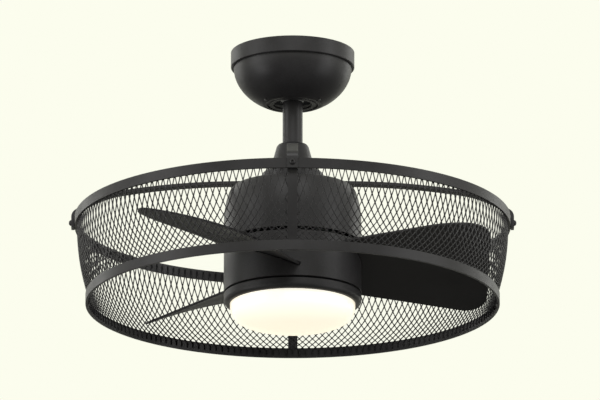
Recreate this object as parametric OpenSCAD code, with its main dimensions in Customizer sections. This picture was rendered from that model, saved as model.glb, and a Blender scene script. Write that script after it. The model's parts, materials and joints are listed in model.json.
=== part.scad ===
// Caged ceiling fan with a light, on a short downrod.
// The ceiling is the plane z = 0, the fan hangs below it, and its axis is the z axis.

/* [Canopy and ceiling bracket] */
// Outer radius of the canopy cover
canopy_r = 78.8; // [74:0.2:90]
// Height of the canopy from the ceiling to its mouth
canopy_h = 72.2; // [66:0.2:76]
// Height of the straight wall at the top of the canopy cover
canopy_wall_h = 18.6; // [12:0.2:20]
// Sheet thickness of the canopy cover
canopy_t = 1.2; // [0.8:0.1:2]
// Radius of the flat land at the canopy's mouth
canopy_land_r = 37.7; // [37.2:0.1:40]
// Depth of the trim ring at the ceiling
trim_h = 21.2; // [18:0.2:25]
// Radial step from the canopy cover to the trim ring
trim_step = 3.6; // [2:0.1:6]
// Radius of the canopy's hole round the downrod
mouth_r = 25.6; // [24:0.2:28]
// Width of the collar's visible face
collar_w = 5.4; // [4:0.2:6]
// Width of the groove between the collar and the canopy cover
collar_groove_w = 3; // [1:0.2:4]
// Distance between the two outlet box bolts
box_bolt_pitch = 88.9; // [82:0.1:92]
// Radius of the outlet box bolt holes
box_bolt_r = 2.6; // [2.2:0.1:3]
// Length of the bracket's top plate
bracket_l = 118; // [108:1:124]
// Width of the bracket's top plate
bracket_w = 38; // [32:1:44]
// Sheet thickness of the bracket
bracket_t = 2.5; // [2:0.1:3]
// Radius of the canopy screws
canopy_screw_r = 1.8; // [1.5:0.1:2]
// Length of the remote control receiver
receiver_l = 104; // [80:1:110]
// Width of the remote control receiver
receiver_w = 40; // [30:1:50]
// Height of the remote control receiver
receiver_h = 17; // [14:0.5:20]

/* [Hanger ball and downrod] */
// Radius of the hanger ball
ball_r = 25.4; // [25:0.1:26.5]
// Height of the ball's centre above the canopy's mouth
ball_rise = 24.8; // [23.5:0.1:26]
// Gap between the ball and its seat
seat_gap = 0.3; // [0.2:0.05:0.5]
// Outer radius of the downrod
rod_r = 13.35; // [12.5:0.05:14]
// Wall of the downrod
rod_wall = 2.9; // [2:0.1:4]
// Clearance of the downrod in the ball and in its coupling
rod_fit = 0.15; // [0.05:0.05:0.3]
// Radius of the cross pins
pin_r = 3; // [2.5:0.1:3.5]

/* [Bell and coupling] */
// Distance from the canopy's mouth to the top of the cage hub
hang_drop = 105.8; // [100:0.2:160]
// Height of the bell cover
bell_h = 50; // [48:0.2:54]
// Radius of the bell cover's top rim
bell_top_r = 18.9; // [18:0.1:20]
// Sheet thickness of the bell cover
bell_t = 1.2; // [0.8:0.1:1.5]
// Outer radius of the rod coupling
coupling_r = 19; // [18:0.1:19.6]
// Height of the rod coupling
coupling_h = 34; // [32:0.5:36]
// Radius of the coupling's flange
coupling_flange_r = 33; // [30:0.5:34]

/* [Cage] */
// Gap from the blades' reach to the top ring's outer side
tip_gap = 26.4; // [20:0.2:40]
// Drop from the cage hub's top to the top ring
top_ring_drop = 50.7; // [50.5:0.1:54]
// Height of the top ring's band
top_ring_h = 13.4; // [10:0.1:16]
// How much smaller the bottom ring's radius is than the top ring's
cage_lean = 15; // [8:0.2:20]
// Height of the bottom ring's band
bottom_ring_h = 13.4; // [10:0.1:16]
// Distance between the upper edges of the two rings
cage_h = 106.2; // [104:0.2:112]
// Thickness of the ring bands
band_t = 3.2; // [2:0.1:4]
// Width of the four upright straps
strap_w = 12.7; // [10:0.1:16]
// Thickness of the upright straps
strap_t = 2; // [1.5:0.1:3]
// Width of the four arms
arm_w = 14.4; // [12:0.2:20]
// Thickness of the arms
arm_t = 4.4; // [3:0.1:5]
// Radius of the cage hub
hub_r = 44; // [43:0.2:48]
// How far the cage hub is thicker than the arms
hub_spare = 1; // [0.9:0.1:2]
// Radius of the cage screws
cage_screw_r = 2; // [1.5:0.1:2.5]
// Radius of the domed screw heads
cage_screw_head_r = 4; // [3.6:0.1:5]

/* [Mesh] */
// Diamond columns in each quarter of the mesh
mesh_columns = 20; // [12:1:22]
// Half rows of diamonds from ring to ring
mesh_half_rows = 6; // [4:2:6]
// Height of the lowest half row as a share of the highest
mesh_taper = 0.14; // [0.1:0.02:1]
// Width of a mesh strand
strand_w = 2; // [1.4:0.1:2.6]
// Thickness of the mesh
strand_t = 1.3; // [1:0.1:1.8]
// Gap between the mesh and the upright straps beside it
mesh_side_gap = 0.5; // [0.2:0.1:2]

/* [Motor] */
// Outer radius of the motor housing and the drum
motor_r = 91.3; // [90:0.1:96]
// Height of the fixed motor housing
housing_h = 81.4; // [80:0.2:90]
// Wall of the motor housing and the drum
shell_t = 2; // [1.5:0.1:2.2]
// Gap between the motor housing and the drum
drum_gap = 4.7; // [3:0.1:6]
// Height of the turning drum
drum_h = 62.2; // [60:0.2:68]
// Radius of the fixed shaft
shaft_r = 8.5; // [8:0.1:8.8]
// Radius of the shaft's bore for the light's wires
shaft_bore_r = 4.5; // [3:0.1:5.5]
// Outer radius of the stator
stator_r = 60; // [56:0.5:61]
// Height of the stator
stator_h = 26; // [20:0.5:30]
// Number of stator teeth
teeth = 12; // [9:3:12]
// Air gap between the stator and the magnets
air_gap = 1; // [0.6:0.1:2]
// Thickness of the magnets
magnet_t = 4; // [3:0.1:6]
// Outer radius of the ball bearings
bearing_r = 17.5; // [17:0.1:18]
// Width of the ball bearings
bearing_w = 10; // [9:0.5:11]
// Radius of a bearing ball
bearing_ball_r = 2.4; // [2:0.05:2.5]
// Balls in each bearing
bearing_balls = 9; // [7:1:10]
// Radial gap round the moving parts of a bearing
bearing_gap = 0.1; // [0.05:0.01:0.15]
// Radius of the blade hub's barrel
barrel_r = 26; // [24:0.5:28]

/* [Blades] */
// Pitch of the blades
blade_pitch = 20.6; // [10:0.2:22]
// Radius of the bow across a blade
blade_bow_r = 820; // [600:10:2000]
// Height of the blades above the middle of the drum
blade_lift = 4.6; // [0:0.2:5]
// Thickness of a blade
blade_t = 3; // [2:0.1:4]
// Reach of a blade from the axis
blade_reach = 263; // [230:1:290]
// How far inside the drum's radius the leading edge leaves it
lead_inset = 17; // [8:0.5:30]
// How far inside the drum's radius the trailing edge leaves it
trail_inset = 35; // [30:0.5:50]
// Length of the leading side by the tip, where it runs along the blade
lead_straight = 65; // [62:1:100]
// Growth of the trailing side per unit of reach
trail_flare = 0.21; // [0.1:0.01:0.24]
// Longest distance from the middle line to the leading edge
lead_max = 114; // [90:1:118]
// Radius of the leading corner
lead_corner_r = 36; // [15:1:40]
// Radius of the trailing corner
trail_corner_r = 28; // [15:1:30]
// Slant of the blade's end, as run over rise
tip_slant = 0.03; // [0:0.005:0.05]
// Direction of the first blade
first_blade = 2.9; // [0:0.1:30]
// Gap round a blade in the drum's slot
slot_gap = 1.2; // [0.8:0.1:2]
// Radius of the blade screws
blade_screw_r = 2.5; // [2:0.1:3]

/* [Light] */
// Gap between the drum and the light
light_gap = 3; // [2:0.1:5]
// Height of the light's bezel
bezel_h = 13.1; // [12.5:0.1:18]
// Radius of the bezel's lower edge
bezel_round_r = 6; // [4:0.2:7]
// Width of the bezel's face round the diffuser
bezel_lip = 8.3; // [8:0.1:14]
// Drop of the diffuser below the bezel
diffuser_h = 31; // [20:0.5:40]
// Squareness of the diffuser's curve, where 2 is an ellipse
diffuser_power = 3; // [2:0.1:3.5]
// Wall of the diffuser
diffuser_t = 2; // [1.5:0.1:3]
// Gap from the diffuser's side to the light's circuit board
led_margin = 13; // [9:0.5:30]

/* [Hidden] */
$fn = 96;
QUARTERS = 4;
BLADES = 3;
paint = "#383736";
zinc = "#b9bbbd";
steel = "#8d9093";

// Sizes that follow from the ones above
top_ring_r = blade_reach + tip_gap;
bottom_ring_r = top_ring_r - cage_lean;
hub_t = arm_t + hub_spare;
lead_root = motor_r - lead_inset;
trail_root = motor_r - trail_inset;
diffuser_r = motor_r - bezel_lip;
led_board_r = diffuser_r - led_margin;

// Heights, from the ceiling down
mouth_z = -canopy_h;
ball_z = mouth_z + ball_rise;
hub_z = mouth_z - hang_drop;
bell_z = hub_z + bell_h;
housing_z = hub_z - hub_t;
housing_end_z = housing_z - housing_h;
drum_z = housing_end_z - drum_gap;
drum_end_z = drum_z - drum_h;
blade_z = (drum_z + drum_end_z) / 2 + blade_lift;
bezel_z = drum_end_z - light_gap;
bezel_end_z = bezel_z - bezel_h;
top_ring_z = hub_z - top_ring_drop;
bottom_ring_z = top_ring_z - cage_h;

// Canopy and bracket
trim_t = 1;
canopy_top_z = -trim_t;
canopy_shoulder_z = canopy_top_z - canopy_wall_h;
dome_h = canopy_h + canopy_shoulder_z;
dome_b = dome_h / sqrt(1 - pow(canopy_land_r / canopy_r, 2));
collar_r = mouth_r + collar_w;
canopy_hole_r = collar_r + collar_groove_w;
collar_flange_t = 1.5;
collar_seat_w = 1.2;
seat_t = 4;
seat_z = ball_z - 12;
seat_r = ball_r + 9.6;
leg_x = ball_r + 4.6;
leg_w = 26;
peg_w = 3;
peg_h = 5;
peg_in = ball_r - 4;
peg_gap = 0.5;
screw_boss_r = 4.6;
screw_recess_r = 3.2;
screw_head_t = 1.8;
screw_head_gap = 0.2;
screw_past = 1;
canopy_screws_r = canopy_hole_r + collar_seat_w + screw_boss_r + 0.3;
canopy_screw_angles = [90, 210, 330];
screw_seat_z = mouth_z + 2.4;
wire_hole_r = 9;
swing_limit = 15;
peg_slot_w = peg_w + 2 * ((ball_z - seat_z) * tan(swing_limit) + 1);

// Ball and rod
ball_flat_rise = 10;
ball_pin_rise = 6;
ball_pin_l = 2 * sqrt(pow(ball_r, 2) - pow(ball_flat_rise, 2)) - 6;
rod_top_rise = 15;
coupling_z = hub_z + coupling_h;
coupling_floor_t = 8;
rod_end_z = hub_z + coupling_floor_t;
coupling_pin_z = coupling_z - 9;
set_screw_z = coupling_z - 19;
flange_t = 4;
set_screw_r = 2.5;

// Cage
ring_in_r = top_ring_r - band_t;
bottom_in_r = bottom_ring_r - band_t;
top_ring_end_z = top_ring_z - top_ring_h;
bottom_ring_end_z = bottom_ring_z - bottom_ring_h;
lean = ring_in_r - bottom_in_r;
lean_h = top_ring_end_z - bottom_ring_z;
lean_r = (pow(lean_h, 2) + pow(lean, 2)) / (2 * lean);
screw_z = (top_ring_z + top_ring_end_z) / 2;
tab_past_ring = 0.3;
lug_past_ring = 1.1;
lug_r = top_ring_r + arm_t;
hub_bolt_r = 2.5;
hub_bolt_ring_r = coupling_flange_r - 6;
bolt_head_h = 3;

housing_rim_in = 11.8;
housing_rim_drop = 5.7;
housing_rim_r = motor_r - housing_rim_in;
housing_rim_z = housing_z - housing_rim_drop;
shoulder_h = 43.5;
shoulder_power = 1.7;

// Shape of an arm's upper side: slopes in degrees below level, radii of its bends
arm_slopes = [1, 9, 34, 90];
arm_bends = [1000, 145, 12];
arm_elbow_reach = 5.7;
arm_bend_reach = [for (i = [0:2]) arm_bends[i] * (sin(arm_slopes[i + 1]) - sin(arm_slopes[i]))];
arm_straight = (lug_r - arm_elbow_reach - arm_bend_reach[0] - arm_bend_reach[1] - arm_bend_reach[2])
    / cos(arm_slopes[0]);
arm_seat = 12;
arm_inner_x = hub_r - arm_seat;

// Mesh
mesh_edge_w = strand_w;
mesh_top_z = top_ring_end_z + 2.4;
mesh_low_z = bottom_ring_z;
half_columns = 2 * mesh_columns;
mesh_q = pow(mesh_taper, 1 / (mesh_half_rows - 1));
strap_side_a = asin(strap_w / 2 / bottom_in_r);
mesh_side_a = strap_side_a + (mesh_side_gap + mesh_edge_w) / bottom_in_r * 180 / PI;

// Motor
shaft_top_z = hub_z + coupling_floor_t - 1;
shaft_nut_h = 6;
light_plate_t = 2;
light_plate_z = bezel_z - 2;
led_board_t = 1.6;
led_board_z = light_plate_z - light_plate_t;
light_boss_h = 3;
light_boss_r = shaft_r + 5;
shaft_nut_z = led_board_z - light_boss_h;
shaft_end_z = shaft_nut_z - shaft_nut_h - 2;
lip_t = 2;
flange_w = 1.8;
bezel_screw_r = 1.2;
bezel_head_r = 2;
bezel_head_h = 1.3;
rotor_in_r = stator_r + air_gap;
rotor_out_r = rotor_in_r + magnet_t + 3;
rotor_wall_r = rotor_in_r + magnet_t;
rotor_plate_t = 3;
rotor_end_z = housing_end_z + 4;
stator_z = rotor_end_z + rotor_plate_t + 9;
magnet_over = 2;
upper_bearing_z = stator_z + stator_h + 10;
boss_t = 4;
race_pitch_r = (shaft_r + bearing_r) / 2;
race_half_gap = 1.5;
retainer_h = 6;
drum_in_r = motor_r - shell_t;
lower_bearing_z = drum_end_z + shell_t;
shelf_r = barrel_r + 12;
shelf_t = 3;
board_z = housing_z - shell_t - 8;
board_t = 1.6;
board_post_r = 3;
board_r = 66;
board_part_r = 6;
board_part_h = 5;
board_part_in = 14;
bore_clear = 3.5;

// Blades, in a plane through the axis: x runs along the blade, y across it
flare_start = motor_r;
blade_in_x = barrel_r + 6;
blade_in_w = 48;
lead_in_x = motor_r - 37;
trail_in_x = motor_r - 25;
lead_bend_x = blade_reach - lead_straight;
lead_flare = (lead_max - lead_root) / (lead_bend_x - flare_start);
lead_room = 0.9;
bow_steps = 8;
slot_in_x = motor_r / 2;
slot_out_x = motor_r + 10;
pad_t = 5;
pad_w = 50;
pad_reach = drum_in_r - 13;
blade_screw_spots = [[pad_reach - 28, 0], [pad_reach - 10, 14], [pad_reach - 10, -18]];
blade_head_r = 4.5;
blade_head_h = 2.4;

// ---- Shared shapes ----

// A round tube from z down by h
module tube(r_out, r_in, z, h) {
    translate([0, 0, z - h]) rotate_extrude()
        translate([r_in, 0]) square([r_out - r_in, h]);
}

// A solid disc from z down by h
module disc(r, z, h) {
    translate([0, 0, z - h]) cylinder(r = r, h = h);
}

// Copies at the given angles about the axis
module around(angles) {
    for (a = angles) rotate([0, 0, a]) children();
}

module quarters() {
    around([for (i = [0:QUARTERS - 1]) i * 360 / QUARTERS]) children();
}

// Points of an arc about a centre
function arc(c, r, a0, a1, n = 12) =
    [for (i = [0:n]) let (a = a0 + (a1 - a0) * i / n) c + r * [cos(a), sin(a)]];

// A quarter of a superellipse, from its side to its end
function bulge(c, a, b, power, n = 16) =
    [for (i = [0:n]) let (t = 90 * i / n)
        c + [a * pow(cos(t), 2 / power), b * pow(sin(t), 2 / power)]];

// Points of a bend that turns a path's slope from s0 to s1; slopes are degrees below level
function bend(p, r, s0, s1, n = 12) =
    let (turn = s1 > s0 ? 1 : -1)
    [for (i = [1:n]) let (s = s0 + (s1 - s0) * i / n)
        p + turn * r * [sin(s) - sin(s0), cos(s) - cos(s0)]];

function last(list) = list[len(list) - 1];
function reversed(list) = [for (i = [len(list) - 1:-1:0]) list[i]];
function unit(v) = v / norm(v);

// A path's other side, at distance t to its right
function beside(path, t) =
    [for (i = [0:len(path) - 1])
        let (a = path[max(i - 1, 0)], b = path[min(i + 1, len(path) - 1)], d = unit(b - a))
        path[i] + t * [d[1], -d[0]]];

// A corner of an outline, rounded with radius r
function rounded(before, corner, after, r, n) =
    let (u = unit(before - corner), v = unit(after - corner),
         half = acos(u * v) / 2, reach = r / tan(half),
         centre = corner + unit(u + v) * r / sin(half),
         p = corner + u * reach - centre, q = corner + v * reach - centre,
         a0 = atan2(p[1], p[0]), turn = atan2(p[0] * q[1] - p[1] * q[0], p * q))
    arc(centre, r, a0, a0 + turn, n);

// ---- Canopy and ceiling bracket ----

// The dome's curve, drawn in by t, from the shoulder to the flat round the mouth
function dome(t) =
    let (a = canopy_r - t, b = dome_b - t, low = asin((dome_h - t) / b), n = 24)
    [for (i = [0:n]) let (q = low * i / n) [a * cos(q), canopy_shoulder_z - b * sin(q)]];

module ceiling_bracket() {
    color(zinc) union() {
        difference() {
            union() {
                translate([-bracket_l / 2, -bracket_w / 2, -bracket_t])
                    cube([bracket_l, bracket_w, bracket_t]);
                for (side = [0, 1]) mirror([side, 0, 0])
                    translate([leg_x, -leg_w / 2, seat_z - seat_t])
                        cube([bracket_t, leg_w, -seat_z + seat_t]);
                rotate_extrude() difference() {
                    translate([0, seat_z - seat_t]) square([seat_r, seat_t]);
                    translate([0, ball_z]) circle(r = ball_r + seat_gap);
                }
                around(canopy_screw_angles) translate([leg_x, -screw_boss_r, seat_z - seat_t])
                    cube([canopy_screws_r + screw_boss_r - leg_x, 2 * screw_boss_r, seat_t]);
            }
            for (side = [-1, 1]) translate([side * box_bolt_pitch / 2, 0, -bracket_t - 1])
                cylinder(r = box_bolt_r, h = bracket_t + 2);
            translate([0, 0, -bracket_t - 1]) cylinder(r = wire_hole_r, h = bracket_t + 2);
            around(canopy_screw_angles) translate([canopy_screws_r, 0, seat_z - seat_t - 1])
                cylinder(r = canopy_screw_r, h = seat_t + 2);
        }
        translate([-peg_w / 2, -ball_r - 2, seat_z - seat_t])
            cube([peg_w, ball_r + 2 - peg_in, seat_t + peg_h]);
    }
}

module canopy_cover() {
    color(paint) difference() {
        union() {
            rotate_extrude() polygon(concat(
                [[canopy_r, canopy_top_z]], dome(0),
                [[canopy_hole_r, mouth_z], [canopy_hole_r, mouth_z + canopy_t]],
                reversed(dome(canopy_t)), [[canopy_r - canopy_t, canopy_top_z]]));
            intersection() {
                rotate_extrude() polygon(concat([[0, canopy_shoulder_z]], dome(0), [[0, mouth_z]]));
                around(canopy_screw_angles) translate([canopy_screws_r, 0, mouth_z])
                    cylinder(r = screw_boss_r, h = screw_seat_z + canopy_t - mouth_z);
            }
        }
        around(canopy_screw_angles) translate([canopy_screws_r, 0, mouth_z - 1]) {
            cylinder(r = canopy_screw_r, h = screw_seat_z + canopy_t - mouth_z + 2);
            cylinder(r = screw_recess_r, h = screw_seat_z - mouth_z + 1);
        }
    }
}

module canopy_trim_ring() {
    color(paint) rotate_extrude() polygon([
        [canopy_r, -trim_h], [canopy_r + trim_step - 1, -trim_h],
        [canopy_r + trim_step, -trim_h + 1], [canopy_r + trim_step, 0],
        [canopy_r + trim_step - trim_t, 0], [canopy_r + trim_step - trim_t, -trim_h + trim_t],
        [canopy_r, -trim_h + trim_t]]);
}

module canopy_collar() {
    seat = mouth_z + canopy_t;
    color(paint) rotate_extrude() polygon([
        [mouth_r, mouth_z], [collar_r, mouth_z], [collar_r, seat],
        [canopy_hole_r + collar_seat_w, seat],
        [canopy_hole_r + collar_seat_w, seat + collar_flange_t],
        [mouth_r, seat + collar_flange_t]]);
}

module canopy_screws() {
    color(paint) around(canopy_screw_angles) translate([canopy_screws_r, 0, screw_seat_z]) {
        disc(screw_recess_r - screw_head_gap, 0, screw_head_t);
        cylinder(r = canopy_screw_r, h = seat_z - screw_seat_z + screw_past);
    }
}

module receiver_box() {
    color("#2b2b2c") translate([-receiver_w / 2, -receiver_l / 2, -bracket_t - receiver_h])
        cube([receiver_w, receiver_l, receiver_h]);
}

// ---- Hanger ball, downrod, coupling and bell ----

// A pin or screw along x or y through the axis
module cross_bar(r, half, z, turn = 0) {
    translate([0, 0, z]) rotate([0, 0, turn]) rotate([0, 90, 0])
        translate([0, 0, -half]) cylinder(r = r, h = 2 * half);
}

module hanger_ball() {
    color(steel) translate([0, 0, ball_z]) difference() {
        sphere(r = ball_r);
        translate([0, 0, ball_flat_rise]) cylinder(r = ball_r, h = ball_r);
        translate([0, 0, -ball_r - 1]) cylinder(r = rod_r + rod_fit, h = 2 * ball_r + 2);
        cross_bar(pin_r, ball_r, ball_pin_rise);
        translate([-ball_r, -pin_r, ball_pin_rise]) cube([2 * ball_r, 2 * pin_r, ball_r]);
        translate([-peg_slot_w / 2, -ball_r - 1, -ball_r])
            cube([peg_slot_w, ball_r + 1 - peg_in + peg_gap, 2 * ball_r]);
    }
}

module ball_pin() {
    color(zinc) cross_bar(pin_r, ball_pin_l / 2, ball_z + ball_pin_rise);
}

module downrod() {
    rod_top_z = ball_z + rod_top_rise;
    color(paint) difference() {
        tube(rod_r, rod_r - rod_wall, rod_top_z, rod_top_z - rod_end_z);
        cross_bar(pin_r, ball_r, ball_z + ball_pin_rise);
        cross_bar(pin_r, ball_r, coupling_pin_z);
    }
}

module rod_coupling() {
    color(steel) difference() {
        union() {
            disc(coupling_r, coupling_z, coupling_h);
            disc(coupling_flange_r, hub_z + flange_t, flange_t);
        }
        disc(rod_r + rod_fit, coupling_z + 1, coupling_z + 1 - rod_end_z);
        disc(shaft_r, coupling_z, coupling_h + 1);
        cross_bar(pin_r, coupling_r + 1, coupling_pin_z);
        cross_bar(set_screw_r, coupling_r + 1, set_screw_z, 90);
        hub_bolt_spots() disc(hub_bolt_r, hub_z + flange_t + 1, flange_t + 2);
    }
}

module coupling_pin() {
    color(zinc) cross_bar(pin_r, coupling_r + 3, coupling_pin_z);
}

module coupling_set_screws() {
    color(zinc) for (turn = [90, 270]) rotate([0, 0, turn]) translate([rod_r, 0, set_screw_z])
        rotate([0, 90, 0]) cylinder(r = set_screw_r, h = coupling_r + 2 - rod_r);
}

// The bell's outer side, from its top rim down: neck, straight side, flare and lip
bell_slopes = [40, 78, 75, 40, 90];
bell_bends = [9, 12, 45.8, 4];
bell_neck = bend([bell_top_r, bell_z], bell_bends[0], bell_slopes[0], bell_slopes[1], 6);
bell_side = last(bell_neck) + bell_bends[1] * [cos(bell_slopes[2]), -sin(bell_slopes[2])];
bell_flare = bend(bell_side, bell_bends[2], bell_slopes[2], bell_slopes[3], 10);
bell_lip = bend(last(bell_flare), bell_bends[3], bell_slopes[3], bell_slopes[4], 5);
bell_path = concat([[bell_top_r, bell_z]], bell_neck, bell_flare, bell_lip,
    [[last(bell_lip)[0], hub_z]]);

module bell_cover() {
    color(paint) rotate_extrude() polygon(concat(bell_path,
        reversed([for (p = bell_path) [p[0] - bell_t, p[1]]])));
}

// ---- Cage ----

module hub_bolt_spots() {
    around([for (i = [0:QUARTERS - 1]) 45 + i * 90]) translate([hub_bolt_ring_r, 0, 0]) children();
}

// An arm's upper side: a straight, a long gentle bend, a tighter one, and a hook to the lug
arm_start = [arm_straight * cos(arm_slopes[0]), hub_z - arm_straight * sin(arm_slopes[0])];
arm_back = bend(arm_start, arm_bends[0], arm_slopes[0], arm_slopes[1], 14);
arm_shoulder = bend(last(arm_back), arm_bends[1], arm_slopes[1], arm_slopes[2], 14);
arm_elbow = last(arm_shoulder) + arm_elbow_reach * [1, -tan(arm_slopes[2])];
arm_hook = bend(arm_elbow, arm_bends[2], arm_slopes[2], arm_slopes[3], 8);
arm_path = concat([[arm_inner_x, hub_z - arm_inner_x * tan(arm_slopes[0])]], [arm_start],
    arm_back, arm_shoulder, [arm_elbow], arm_hook, [[lug_r, top_ring_end_z - lug_past_ring]]);

// A flat bar of width w that follows a path out from the axis
module bar(path, t, w) {
    rotate([90, 0, 0]) translate([0, 0, -w / 2]) linear_extrude(w)
        polygon(concat(path, reversed(beside(path, t))));
}

// The hole for a cage screw, along x
module screw_hole() {
    translate([bottom_in_r, 0, screw_z]) rotate([0, 90, 0])
        cylinder(r = cage_screw_r, h = lug_r + 1 - bottom_in_r);
}

module cage_arm(i) {
    color(paint) rotate([0, 0, (i - 1) * 90]) difference() {
        bar(arm_path, arm_t, arm_w);
        screw_hole();
    }
}

module cage_hub() {
    color(paint) difference() {
        disc(hub_r, hub_z, hub_t);
        disc(shaft_r, hub_z + 1, hub_t + 2);
        quarters() {
            bar(arm_path, arm_t, arm_w);
            translate([arm_inner_x, -arm_w / 2, housing_z - 1]) cube([hub_r, arm_w, hub_t + 2]);
        }
        hub_bolt_spots() disc(hub_bolt_r, hub_z + 1, hub_t + 2);
    }
}

module hub_screws() {
    under_z = housing_z - shell_t;
    head_z = hub_z + flange_t + bolt_head_h;
    color(zinc) hub_bolt_spots() {
        disc(hub_bolt_r, head_z, head_z - under_z + bolt_head_h + 1);
        disc(hub_bolt_r + 2, head_z, bolt_head_h);
        disc(hub_bolt_r + 2, under_z, bolt_head_h);
    }
}

module top_ring() {
    color(paint) difference() {
        tube(top_ring_r, ring_in_r, top_ring_z, top_ring_h);
        quarters() screw_hole();
    }
}

module bottom_ring() {
    color(paint) tube(bottom_ring_r, bottom_in_r, bottom_ring_z, bottom_ring_h);
}

// Radius of the cage's wall at height z: upright in the rings, a round lean between them
function wall_r(z) =
    let (fall = max(0, min(lean_h, top_ring_end_z - z)))
    ring_in_r - lean_r + sqrt(pow(lean_r, 2) - pow(fall, 2));

// The flat face of a strap that lies inside a round wall of radius r
function flat_in(r) = sqrt(pow(r, 2) - pow(strap_w / 2, 2));

strap_path = concat([[flat_in(ring_in_r), top_ring_z]],
    [for (i = [0:14]) let (z = top_ring_end_z - lean_h * i / 14) [flat_in(wall_r(z)), z]],
    [[flat_in(bottom_in_r), bottom_ring_end_z - tab_past_ring]]);

module cage_strap(i) {
    color(paint) rotate([0, 0, (i - 1) * 90]) difference() {
        bar(strap_path, strap_t, strap_w);
        screw_hole();
    }
}

module cage_screws() {
    in_x = flat_in(ring_in_r) - strap_t - bolt_head_h - 1;
    color(paint) quarters() translate([0, 0, screw_z]) rotate([0, 90, 0]) {
        translate([0, 0, in_x]) cylinder(r = cage_screw_r, h = lug_r - in_x);
        translate([0, 0, lug_r]) rotate_extrude()
            polygon(concat([[0, 0]], bulge([0, 0], cage_screw_head_r, 3.5, 2, 8)));
    }
}

module cage_nuts() {
    color(zinc) quarters() translate([flat_in(ring_in_r) - strap_t - bolt_head_h, 0, screw_z])
        rotate([0, 90, 0]) difference() {
            cylinder(r = cage_screw_r + 2, h = bolt_head_h, $fn = 6);
            translate([0, 0, -1]) cylinder(r = cage_screw_r, h = bolt_head_h + 2);
        }
}

// ---- Mesh: a lattice of diamonds, joined at its crossings, on the cage's round wall ----

// Crossings lie on column c and row k where c + k is even. Each has four corners, in the
// order right, top, left, bottom, on its outer side and again on its inner side.
function row_z(k) = mesh_top_z - (mesh_top_z - mesh_low_z)
    * (mesh_q == 1 ? k / mesh_half_rows : (1 - pow(mesh_q, k)) / (1 - pow(mesh_q, mesh_half_rows)));
column_a = (90 - 2 * mesh_side_a) / half_columns;
cell_w = column_a * PI / 180 * ring_in_r;
function cell_h(k) = row_z(max(0, min(mesh_half_rows - 1, k)))
    - row_z(max(0, min(mesh_half_rows - 1, k)) + 1);
function strand_across(h) = strand_w / 2 * norm([cell_w, h]) / h;
function strand_along(h) = strand_w / 2 * norm([cell_w, h]) / cell_w;

function mesh_point(c, k, corner, side) =
    let (across = (strand_across(cell_h(k - 1)) + strand_across(cell_h(k))) / 2,
         right = c == half_columns ? mesh_edge_w : across,
         left = c == 0 ? mesh_edge_w : across,
         up = k == 0 ? mesh_edge_w : strand_along(cell_h(k - 1)),
         down = k == mesh_half_rows ? mesh_edge_w : strand_along(cell_h(k)),
         z = row_z(k) + [0, up, 0, -down][corner],
         a = mesh_side_a + c * column_a + [right, 0, -left, 0][corner] / ring_in_r * 180 / PI,
         r = wall_r(k == mesh_half_rows ? mesh_low_z : z) - side * strand_t)
    [r * cos(a), r * sin(a), z];

function row_start(k) = ceil(k / 2) * (mesh_columns + 1) + floor(k / 2) * mesh_columns;

// The index of a corner, where q is [column, row, corner]
function at(q, side) = 8 * (row_start(q[1]) + floor(q[0] / 2)) + 4 * side + q[2];

// A four sided face as two triangles, so that a twisted one has one meaning
function halves(q) = [[q[0], q[1], q[2]], [q[0], q[2], q[3]]];

// Both faces of a patch, given clockwise as seen from outside, and walls on its open edges
function patch(q, open = []) = concat(
    halves([for (p = q) at(p, 0)]),
    halves([at(q[0], 1), at(q[3], 1), at(q[2], 1), at(q[1], 1)]),
    [for (i = open) let (p = q[i], n = q[(i + 1) % 4])
        each halves([at(n, 0), at(p, 0), at(p, 1), at(n, 1)])]);

RIGHT = 0;
TOP = 1;
LEFT = 2;
BOTTOM = 3;

function mesh_faces() =
    let (m = half_columns, n = mesh_half_rows)
    [for (group = concat(
        // Crossings, with a wall on the one free edge of each corner of the panel
        [for (k = [0:n]) for (c = [k % 2:2:m])
            patch([[c, k, TOP], [c, k, RIGHT], [c, k, BOTTOM], [c, k, LEFT]],
                c == 0 && k == 0 ? [3] : c == m && k == 0 ? [0]
                    : c == m && k == n ? [1] : c == 0 && k == n ? [2] : [])],
        // Strands down to the right and down to the left
        [for (k = [0:n - 1]) for (c = [k % 2:2:m]) if (c < m)
            patch([[c, k, RIGHT], [c + 1, k + 1, TOP], [c + 1, k + 1, LEFT], [c, k, BOTTOM]], [0, 2])],
        [for (k = [0:n - 1]) for (c = [k % 2:2:m]) if (c > 0)
            patch([[c, k, LEFT], [c, k, BOTTOM], [c - 1, k + 1, RIGHT], [c - 1, k + 1, TOP]], [1, 3])],
        // Border at the sides, the top and the bottom
        [for (k = [0:2:n - 2])
            patch([[0, k, LEFT], [0, k, BOTTOM], [0, k + 2, TOP], [0, k + 2, LEFT]], [1, 3])],
        [for (k = [0:2:n - 2])
            patch([[m, k, RIGHT], [m, k + 2, RIGHT], [m, k + 2, TOP], [m, k, BOTTOM]], [0, 2])],
        [for (c = [0:2:m - 2])
            patch([[c, 0, TOP], [c + 2, 0, TOP], [c + 2, 0, LEFT], [c, 0, RIGHT]], [0, 2])],
        [for (c = [0:2:m - 2])
            patch([[c, n, RIGHT], [c + 2, n, LEFT], [c + 2, n, BOTTOM], [c, n, BOTTOM]], [0, 2])]
    )) each group];

module mesh_panel(i) {
    points = [for (k = [0:mesh_half_rows]) for (c = [k % 2:2:half_columns])
        for (side = [0, 1]) for (corner = [0:3]) mesh_point(c, k, corner, side)];
    color("#2f2e2d") rotate([0, 0, (i - 1) * 90]) polyhedron(points, mesh_faces(), convexity = 8);
}

// ---- Motor ----

// The housing's outer side, from the hub's edge round the shoulder to its open end
function housing_side() = concat([[hub_r, housing_z]],
    reversed(bulge([housing_rim_r, housing_rim_z - shoulder_h], housing_rim_in, shoulder_h,
        shoulder_power, 18)));

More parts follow.
